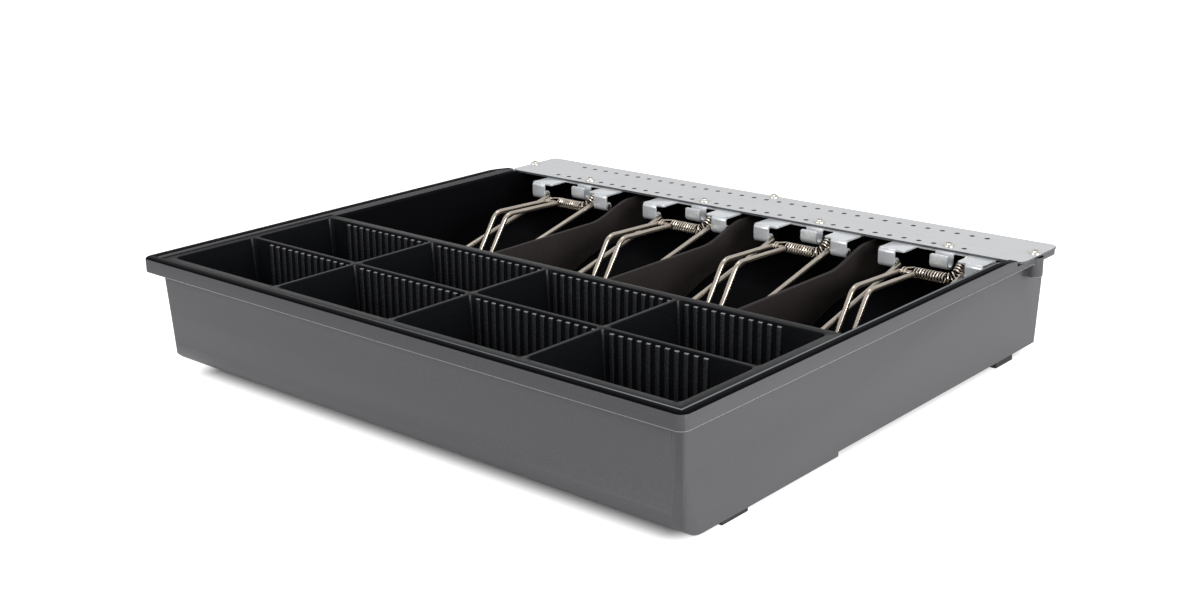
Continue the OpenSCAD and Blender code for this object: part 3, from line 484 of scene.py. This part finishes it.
# %% Cup tray
RIB_FACES, RIB_TOP = (-97.5, -43.6), 58.1
RIB_NEAR, RIB_TOP_NEAR = 0.4, 1.4
cups = soft_copy("cup_tray", "cup_moulding", width_mm=0.35, reshape=cup_corner)
for finish in (cup_abs, rib_polish_and_painted_light_abs, edge_highlight_abs):
    cups.data.materials.append(finish)
for face in cups.data.polygons:
    c, n = face.center / MM, face.normal
    from_ribs = min(abs(c.y - y) for y in RIB_FACES)
    # Rib tops take the painted highlight.
    if n.z > 0.6 and abs(c.z - RIB_TOP) < RIB_NEAR and from_ribs < RIB_TOP_NEAR:
        face.material_index = 2
    # Rib faces: polished, with a paler tone as painted light.
    elif n.y < -0.3 and from_ribs < RIB_NEAR:
        face.material_index = 1
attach(cups, "cups")
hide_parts("cup_tray")
print("rib faces:", sum(f.material_index == 1 for f in cups.data.polygons))

# %% [markdown]
# ## Dividers and feet
# Three thin plates part the bays. They need nothing but a softened edge, since the sweep
# of their tops is in the solid model. The feet are low pads under the side walls, seen
# only as a dark line, so the solid model's own piece is kept and given its rubber.

# %% Dividers and feet
for number in (1, 2, 3):
    plate = soft_copy(f"bay_divider_{number}", f"divider_plate_{number}", width_mm=0.5, sharp_deg=40)
    plate.data.materials.append(divider_abs)
    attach(plate, "tray")
    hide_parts(f"bay_divider_{number}")
feet = frame["nodes"]["feet"]
feet.data.materials.clear()
feet.data.materials.append(foot_rubber)
print("feet:", len(feet.data.polygons), "faces in", foot_rubber.name)

# %% [markdown]
# ## Bar and clips
# Both are sheet steel, so their edges are softened only a little. The bar was punched flat: its faces
# keep flat shading, and every face that stands upright, at the cut edge and in the holes, shows bare
# sheared steel, darkened further as painted shade. The clips were bent after cutting, and their curled
# knuckles stay smooth.

# %% Bar and clips
bar = soft_copy("hold_down_bar", "bar_strip", width_mm=0.15, segments=1, least_mm=1.5)
bar.data.materials.append(bar_zinc)
bar.data.materials.append(sheared_steel_and_shade)
for face in bar.data.polygons:
    face.use_smooth = False
    # Upright faces: bare steel with painted shade.
    face.material_index = 1 if abs(face.normal.z) < 0.5 else 0
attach(bar, "tray")
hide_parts("hold_down_bar")
for number in (1, 2, 3, 4):
    clip = soft_copy(f"clip_{number}", f"clip_sheet_{number}", width_mm=0.18, sharp_deg=40)
    clip.data.materials.append(clip_zinc)
    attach(clip, "tray")
    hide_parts(f"clip_{number}")

# %% [markdown]
# ## Geometry trees
# What follows a path or repeats is made by Geometry Nodes. Each tree starts from named
# inputs and ends the same way: copies become real faces and take their finish. The result
# is then kept as a plain mesh and the modifier is removed, because a finished piece
# shouldn't depend on a live tree. Inputs are set by their identifier, which stays the
# same when a title changes.

# %% Tree helpers
def new_tree(name, **inputs):
    """A geometry tree with named inputs, and the node that hands them out."""
    tree = bpy.data.node_groups.new(name, "GeometryNodeTree")
    sockets = tree.interface
    sockets.new_socket("Geometry", in_out="INPUT", socket_type="NodeSocketGeometry")
    for title, kind in inputs.items():
        sockets.new_socket(title.replace("_", " "), in_out="INPUT", socket_type="NodeSocket" + kind)
    sockets.new_socket("Finish", in_out="INPUT", socket_type="NodeSocketMaterial")
    sockets.new_socket("Geometry", in_out="OUTPUT", socket_type="NodeSocketGeometry")
    return tree, add(tree, "NodeGroupInput").outputs


def close_tree(tree, geometry, material):
    """Ends a tree with real faces that carry the material."""
    real = add(tree, "GeometryNodeRealizeInstances", Geometry=geometry)
    finish = add(tree, "GeometryNodeSetMaterial", Geometry=real.outputs["Geometry"], Material=material)
    add(tree, "NodeGroupOutput", Geometry=finish.outputs["Geometry"])
    print(tree.name, "- nodes:", len(tree.nodes))


SHARP_DEG = 40


def bake(piece, tree, **values):
    """Runs a geometry tree on a piece and keeps its result as a plain mesh."""
    run = piece.modifiers.new(tree.name, "NODES")
    run.node_group = tree
    names = {s.name: s.identifier for s in tree.interface.items_tree
             if s.item_type == "SOCKET" and s.in_out == "INPUT"}
    for key, value in values.items():
        run[names[key.replace("_", " ")]] = value
    graph = bpy.context.evaluated_depsgraph_get()
    result = bpy.data.meshes.new_from_object(piece.evaluated_get(graph), depsgraph=graph)
    piece.modifiers.remove(run)
    piece.data = result
    for polygon in result.polygons:
        polygon.use_smooth = True
    result.set_sharp_from_angle(angle=math.radians(SHARP_DEG))


def chain_piece(name, points, edges):
    """A new piece whose mesh is bare points, joined by the edges that are given."""
    mesh = bpy.data.meshes.new(name)
    mesh.from_pydata(points, edges, [])
    piece = bpy.data.objects.new(name, mesh)
    bpy.context.scene.collection.objects.link(piece)
    return piece


print("baked pieces keep edges over", SHARP_DEG, "degrees sharp")

# %% [markdown]
# ## Wire that follows a path
# A hold-down is one wire bent in a jig, and a spring is one wire wound on a rod, so both
# are a path with a round section. The tree takes the path as a chain of edges, rounds
# each corner with the radius stored on its point, and sweeps a circle along it.

# %% Wire tree
wire, given = new_tree("wire on a path", Wire_radius="Float", Sides="Int", Bend_steps="Int")
path = add(wire, "GeometryNodeMeshToCurve", Mesh=given["Geometry"])
bend = add(wire, "GeometryNodeInputNamedAttribute", {"data_type": "FLOAT"}, Name="bend")
rounded = add(wire, "GeometryNodeFilletCurve", {"mode": "POLY"}, Curve=path.outputs["Curve"],
              Radius=bend.outputs["Attribute"], Count=given["Bend steps"])
section = add(wire, "GeometryNodeCurvePrimitiveCircle",
              Radius=given["Wire radius"], Resolution=given["Sides"])
tube = add(wire, "GeometryNodeCurveToMesh", Curve=rounded.outputs["Curve"],
           Profile_Curve=section.outputs["Curve"], Fill_Caps=True)
close_tree(wire, tube.outputs["Mesh"], given["Finish"])


def path_piece(name, points, bends):
    """A chain of points for the wire tree, each with the radius of its bend."""
    piece = chain_piece(name, points, [(i, i + 1) for i in range(len(points) - 1)])
    attribute = piece.data.attributes.new("bend", "FLOAT", "POINT")
    attribute.data.foreach_set("value", bends)
    return piece


# %% [markdown]
# ## Hold-downs
# The wire runs from the left knuckle forward to the nose, turns back as the first lever
# strand, rises to the hinge line, crosses, comes forward again as the second strand and
# goes round the nose to the right knuckle. The corners are the solid model's own. They
# are written from the middle of the hinge line, so one list serves all four. The swept
# wire is a hundredth of a millimetre thinner, so that it nowhere leaves the solid one.

# %% Corners of a hold-down
WIRE_R, WIRE_INSET = 1.4, 0.01
PIN_END, LEG_X, STRAND_A, STRAND_B = 30.5, 18.2, 14.5, 5.5
FLOOR_Z = -29.6
NOSE_Y, FOOT_Y, LEVER_Y = -122.4, -72.0, -51.7
CROSS_Y, CROSS_Z = -7.2, -1.7
BEND, LEVER_BEND, TIGHT_BEND = 2.2, 8.0, 1.75
hold_down_corners = [
    ((-PIN_END, 0, 0), 0),
    ((-LEG_X, 0, 0), BEND),
    ((-LEG_X, NOSE_Y, FLOOR_Z), TIGHT_BEND),
    ((-STRAND_A, NOSE_Y, FLOOR_Z), TIGHT_BEND),
    ((-STRAND_A, FOOT_Y, FLOOR_Z), LEVER_BEND),
    ((-STRAND_A, LEVER_Y, 0), LEVER_BEND),
    ((-STRAND_A, CROSS_Y, CROSS_Z), BEND),
    ((-STRAND_B, CROSS_Y, CROSS_Z), BEND),
    ((-STRAND_B, LEVER_Y, 0), LEVER_BEND),
    ((-STRAND_B, FOOT_Y, FLOOR_Z), LEVER_BEND),
    ((-STRAND_B, NOSE_Y, FLOOR_Z), BEND),
    ((LEG_X, NOSE_Y, FLOOR_Z), BEND),
    ((LEG_X, 0, 0), BEND),
    ((PIN_END, 0, 0), 0),
]
print("bends in a hold-down:", len(hold_down_corners) - 2)

# %% Hold-down wires
lifts = [j for j in frame["joints"] if j["type"] == "hinge"]
hinges = [Vector(j["pos_m"]) for j in lifts]
arms = [j["child"] for j in lifts]
for number, (place, arm) in enumerate(zip(hinges, arms), start=1):
    points = [place + Vector(p) * MM for p, _ in hold_down_corners]
    piece = path_piece(f"hold_down_wire_{number}", points, [b * MM for _, b in hold_down_corners])
    bake(piece, wire, Wire_radius=(WIRE_R - WIRE_INSET) * MM, Sides=24, Bend_steps=12, Finish=wire_nickel)
    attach(piece, arm)
    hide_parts(f"hold_down_{number}")
    print(piece.name, "faces:", len(piece.data.polygons))

# %% [markdown]
# ## Springs
# Each spring has an eye round the lever's rear end, a straight coil along the hinge line, a bend beside
# the hook and a tail under the bar. Its centre line is a straight, an arc and a short straight, and the
# winding turns round that line. A spiral curve could be bent by a modifier, but then the ends would not
# meet the eye and the tail exactly, so the points are worked out one by one.

# %% Sizes of a spring
COIL_R, COIL_WIRE = 2.65, 0.75
PITCH, PITCH_BEND = 1.65, 2.6
COIL_X0, COIL_END_X, COIL_BEND, COIL_RUN = -8.8, 14.325, 5.0, 5.2
COIL_Y, COIL_Z, TILT = -2.0, -2.7, math.radians(35)
EYE_R, EYE_TURNS, EYE_X = 2.45, 1.25, -10.0
TAIL_END, TAIL_STRAIGHT = Vector((COIL_END_X, 12.0, 6.9)), Vector((0, 1.2, 0))
UP = Vector((0, math.cos(TILT), math.sin(TILT)))
FLAT = Vector((0, -math.sin(TILT), math.cos(TILT)))
LEN1, LEN2 = COIL_END_X - COIL_BEND - COIL_X0, math.pi / 2 * COIL_BEND
TURNS1, TURNS2 = LEN1 / PITCH, LEN2 / PITCH_BEND
TURNS = TURNS1 + TURNS2 + COIL_RUN / PITCH
print("turns along the hinge, in the bend and in all:", [round(t, 2) for t in (TURNS1, TURNS2, TURNS)])


# %% Spring path
def coil_point(turns):
    """A point of the winding, from the hinge line's middle in mm; it starts on top."""
    along = min(turns, TURNS1) * PITCH + min(max(turns - TURNS1, 0), TURNS2) * PITCH_BEND
    along += max(turns - TURNS1 - TURNS2, 0) * PITCH
    angle = min(max((along - LEN1) / COIL_BEND, 0), math.pi / 2)
    rest = max(0, along - LEN1 - LEN2)
    middle = Vector((COIL_X0 + min(along, LEN1) + COIL_BEND * math.sin(angle), COIL_Y, COIL_Z))
    middle += UP * (COIL_BEND * (1 - math.cos(angle)) + rest)
    out = Vector((-math.sin(angle), 0, 0)) + UP * math.cos(angle)
    phase = math.pi / 2 - TILT - 2 * math.pi * turns
    return middle + COIL_R * (math.cos(phase) * out + math.sin(phase) * FLAT)


def eye_point(turns):
    """A point of the eye round the lever's rear end, counted back from its upper end."""
    angle = math.pi / 2 + 2 * math.pi * turns
    y, z = CROSS_Y + EYE_R * math.cos(angle), CROSS_Z + EYE_R * math.sin(angle)
    return Vector((EYE_X - PITCH * turns, y, z))


STEPS, LEAD_STEPS = 20, 4
coil_steps = round(TURNS * STEPS)
spring_path = [eye_point(k / STEPS) for k in range(round(EYE_TURNS * STEPS), -1, -1)]
spring_path += [eye_point(0).lerp(coil_point(0), k / LEAD_STEPS) for k in range(1, LEAD_STEPS)]
spring_path += [coil_point(TURNS * k / coil_steps) for k in range(coil_steps + 1)]
spring_path += [TAIL_END - TAIL_STRAIGHT, TAIL_END]
print("points on a spring's path:", len(spring_path))

# %% Springs on their paths
for number, (place, arm) in enumerate(zip(hinges, arms), start=1):
    points = [place + p * MM for p in spring_path]
    piece = path_piece(f"hinge_spring_{number}", points, [0.0] * len(points))
    bake(piece, wire, Wire_radius=COIL_WIRE / 2 * MM, Sides=8, Bend_steps=1, Finish=spring_nickel)
    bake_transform(piece)
    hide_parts(f"spring_{number}")
print("springs wound:", len(hinges))

# %% [markdown]
# ## Screws
# All screws are pan heads with a cross recess. A head is half a flattened ball: the tree
# squeezes a sphere to the head's height, cuts its lower half away and sinks two crossed
# slots into the top. A plain cylinder is the shank. A copy stands on every point that the
# tree is given, so seven screws are three short lists of places.

# %% Screw head
RECESS = Vector((3.4, 0.75, 1.6))
RECESS_TURNS = (20, 110)

# Edge of the block that takes the ball's lower half away
BLOCK = 40.0
screw, given = new_tree("pan-head screws on points", Head_radius="Float", Head_height="Float",
                        Shank_radius="Float", Shank_length="Float")
ball = add(screw, "GeometryNodeMeshUVSphere", Segments=32, Rings=24, Radius=given["Head radius"])
squeeze = add(screw, "ShaderNodeMath", {"operation": "DIVIDE"},
              i0=given["Head height"], i1=given["Head radius"])
flat = add(screw, "ShaderNodeCombineXYZ", X=1.0, Y=1.0, Z=squeeze.outputs[0])
dome = add(screw, "GeometryNodeTransform", Geometry=ball.outputs["Mesh"], Scale=flat.outputs[0])
head = add(screw, "GeometryNodeMeshBoolean", {"operation": "DIFFERENCE", "solver": "EXACT"},
           Mesh_1=dome.outputs["Geometry"])
slot = add(screw, "GeometryNodeMeshCube", Size=RECESS * MM)
top = add(screw, "ShaderNodeCombineXYZ", X=0.0, Y=0.0, Z=given["Head height"])
for turn in reversed(RECESS_TURNS):
    cut = add(screw, "GeometryNodeTransform", Geometry=slot.outputs["Mesh"],
              Translation=top.outputs[0], Rotation=(0, 0, math.radians(turn)))
    screw.links.new(cut.outputs["Geometry"], head.inputs["Mesh 2"])
block = add(screw, "GeometryNodeMeshCube", Size=(BLOCK * MM, BLOCK * MM, BLOCK * MM))
below = add(screw, "GeometryNodeTransform", Geometry=block.outputs["Mesh"],
            Translation=(0, 0, -BLOCK / 2 * MM))
screw.links.new(below.outputs["Geometry"], head.inputs["Mesh 2"])
print("recess:", tuple(round(v, 2) for v in RECESS), "mm")

# %% Screw shank and copies
length = given["Shank length"]
rod = add(screw, "GeometryNodeMeshCylinder", Vertices=20, Radius=given["Shank radius"], Depth=length)
half = add(screw, "ShaderNodeMath", {"operation": "MULTIPLY"}, i0=length, i1=-0.5)
down = add(screw, "ShaderNodeCombineXYZ", X=0.0, Y=0.0, Z=half.outputs[0])
shank = add(screw, "GeometryNodeTransform", Geometry=rod.outputs["Mesh"], Translation=down.outputs[0])
whole = add(screw, "GeometryNodeJoinGeometry")
for part in (shank, head):
    screw.links.new(part.outputs[0], whole.inputs["Geometry"])
copies = add(screw, "GeometryNodeInstanceOnPoints", Points=given["Geometry"],
             Instance=whole.outputs["Geometry"])
close_tree(screw, copies.outputs["Instances"], given["Finish"])

# %% Screws on their points
BAR_TOP, HEAD_R, HEAD_H = 57.6, 3.0, 2.0
END_X, END_Y, REAR_Y, CLIP_SCREW_Y = 175.5, 137.0, 156.0, 123.3
BAR_SHANK, CLIP_SHANK = (1.75, 9.0), (1.5, 5.0)
screw_places = {
    "bar_end_screws": ([(-END_X, END_Y), (END_X, END_Y)], BAR_SHANK),
    "bar_rear_screw": ([(0.0, REAR_Y)], BAR_SHANK),
    "clip_screws": ([(place.x / MM, CLIP_SCREW_Y) for place in hinges], CLIP_SHANK),
}
for node, (places, (radius, length)) in screw_places.items():
    piece = chain_piece(node + "_turned", [(x * MM, y * MM, BAR_TOP * MM) for x, y in places], [])
    bake(piece, screw, Head_radius=HEAD_R * MM, Head_height=HEAD_H * MM, Shank_radius=radius * MM,
         Shank_length=length * MM, Finish=screw_zinc)
    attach(piece, "tray")
    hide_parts(node)
    print(piece.name, "faces:", len(piece.data.polygons))

# %% [markdown]
# ## Studio floor
# The object stands on plain white paper, and its shadow is a narrow, soft band. A floor that is lit to
# full white would also throw that light onto the object, so the paper is a pale grey, and it glows only
# for rays that come from the camera or from a glossy or clear surface. The glow starts at the object's
# footprint and reaches white a little way outside it, so a band of bare grey paper is left round the
# footprint whatever the lamps do: a painted shadow, with the real shadow falling inside it, and all
# beyond is white.

# %% Paper that glows
# Middle, half-size and fade of the painted shadow band round the footprint.
SHADE_MIDDLE, SHADE_HALF, SHADE_FADE = Vector((6, 0, 0)), Vector((150, 139, 0)), 20.0


def seen_directly(tree):
    """1 for rays from the camera and from glossy or clear surfaces, 0 for all others."""
    ray = add(tree, "ShaderNodeLightPath")
    mirrored = add(tree, "ShaderNodeMath", {"operation": "MAXIMUM"},
                   i0=ray.outputs["Is Glossy Ray"], i1=ray.outputs["Is Transmission Ray"])
    seen = add(tree, "ShaderNodeMath", {"operation": "MAXIMUM"},
               i0=ray.outputs["Is Camera Ray"], i1=mirrored.outputs[0])
    return seen.outputs[0]


floor_paper = new_material("matt white paper", "#cfcfcf", roughness=0.9)
tree = floor_paper.node_tree
place = add(tree, "ShaderNodeTexCoord")
middle = add(tree, "ShaderNodeVectorMath", {"operation": "SUBTRACT"},
             i0=place.outputs["Object"], i1=SHADE_MIDDLE * MM)
across = add(tree, "ShaderNodeVectorMath", {"operation": "ABSOLUTE"}, i0=middle.outputs["Vector"])
beyond = add(tree, "ShaderNodeVectorMath", {"operation": "SUBTRACT"},
             i0=across.outputs["Vector"], i1=SHADE_HALF * MM)
outside = add(tree, "ShaderNodeVectorMath", {"operation": "MAXIMUM"},
              i0=beyond.outputs["Vector"], i1=(0, 0, 0))
far = add(tree, "ShaderNodeVectorMath", {"operation": "LENGTH"}, i0=outside.outputs["Vector"])
fade = add(tree, "ShaderNodeMapRange", {"interpolation_type": "SMOOTHSTEP"}, Value=far.outputs["Value"],
           From_Min=0.0, From_Max=SHADE_FADE * MM, To_Min=0.0, To_Max=1.0)
glow = add(tree, "ShaderNodeMath", {"operation": "MULTIPLY"},
           i0=seen_directly(tree), i1=fade.outputs["Result"])
shader = tree.nodes["Principled BSDF"]
shader.inputs["Emission Color"].default_value = (1, 1, 1, 1)
tree.links.new(glow.outputs[0], shader.inputs["Emission Strength"])
print("paper glows from", SHADE_FADE, "mm outside the footprint")

# %% Floor piece
REACH = 6000.0

# The paper lies a hair lower than the feet, so that the two never share a face
SINK = 0.05
corners = [(x * REACH * MM, y * REACH * MM, 0) for x, y in ((-1, -1), (1, -1), (1, 1), (-1, 1))]
floor_mesh = bpy.data.meshes.new("studio_floor")
floor_mesh.from_pydata(corners, [], [(0, 1, 2, 3)])
floor_mesh.materials.append(floor_paper)
floor = bpy.data.objects.new("studio_floor", floor_mesh)
floor.location.z = -SINK * MM
bpy.context.scene.collection.objects.link(floor)
print("floor:", 2 * REACH * MM, "m wide")

# %% [markdown]
# ## Air and lamps
# A studio's white walls give an even light from all sides. The world stands in for them:
# it lights the object softly, and the camera and the metals see it as white. Three large
# soft lamps shape the object: the right one is the main light on the side wall, the front
# one fills the long face, and a weak one above lifts the bar and the lips.

# %% Air
AIR_LIGHT, AIR_WHITE = 0.45, 1.0
world = bpy.data.worlds.new("studio air")
bpy.context.scene.world = world
world.use_nodes = True
tree = world.node_tree
back = tree.nodes["Background"]
back.inputs["Color"].default_value = (1, 1, 1, 1)
level = add(tree, "ShaderNodeMapRange", Value=seen_directly(tree), From_Min=0.0, From_Max=1.0,
            To_Min=AIR_LIGHT, To_Max=AIR_WHITE)
tree.links.new(level.outputs["Result"], back.inputs["Strength"])
print("air lights at", AIR_LIGHT, "and is seen at", AIR_WHITE)

# %% Lamps
# Each lamp: where it stands, where it looks and how wide and high it is, all in metres, and its watts
studio_lamps = {
    "right lamp": ((1.7, -0.3, 0.5), (0, 0, 0.03), (1.2, 0.9), 29),
    "top lamp": ((-0.2, 0.4, 1.8), (0, 0, 0.02), (0.9, 0.6), 6),
    "front fill": ((-0.4, -1.8, 0.9), (0, 0, 0.05), (1.2, 0.8), 18),
}
for name, (place, target, (width, height), watts) in studio_lamps.items():
    lamp = bpy.data.lights.new(name, "AREA")
    lamp.shape = "RECTANGLE"
    lamp.size = width
    lamp.size_y = height
    lamp.energy = watts
    holder = bpy.data.objects.new(name, lamp)
    holder.location = place
    holder.rotation_euler = (Vector(target) - Vector(place)).to_track_quat("-Z", "Y").to_euler()
    bpy.context.scene.collection.objects.link(holder)
    print(name, "at", place, "with", watts, "W")

# %% [markdown]
# ## Camera
# The reference view was solved from the object's straight edges: where the lens stood,
# how far round and how far down it looked, how much it was rolled, and its focal length
# in pixels of a picture 1200 pixels wide. The camera's own axes are built from those
# angles. A Track To constraint would aim it too, but could not hold the roll.

# %% Camera
AZIMUTH, ELEVATION, ROLL = (math.radians(v) for v in (41.08, 17.71, 0.894))
CAMERA_AT = Vector((516.1, -594.1, 279.7))
FOCAL_PIXELS, PICTURE_W, SENSOR_W = 1570.52, 1200, 36.0
back_axis = Vector((math.sin(AZIMUTH) * math.cos(ELEVATION),
                    -math.cos(AZIMUTH) * math.cos(ELEVATION), math.sin(ELEVATION)))
right = Vector((math.cos(AZIMUTH), math.sin(AZIMUTH), 0))
up = back_axis.cross(right)
x_axis = math.cos(ROLL) * right - math.sin(ROLL) * up
y_axis = math.sin(ROLL) * right + math.cos(ROLL) * up
lens = bpy.data.cameras.new("reference lens")
lens.sensor_fit = "HORIZONTAL"
lens.sensor_width = SENSOR_W
lens.lens = SENSOR_W * FOCAL_PIXELS / PICTURE_W
lens.clip_start = 0.01
camera = bpy.data.objects.new("reference camera", lens)
camera.matrix_world = Matrix((x_axis, y_axis, back_axis)).transposed().to_4x4()
camera.location = CAMERA_AT * MM
bpy.context.scene.collection.objects.link(camera)
bpy.context.scene.camera = camera
bpy.context.scene.view_settings.view_transform = "Standard"
print("camera lens:", round(lens.lens, 2), "mm")
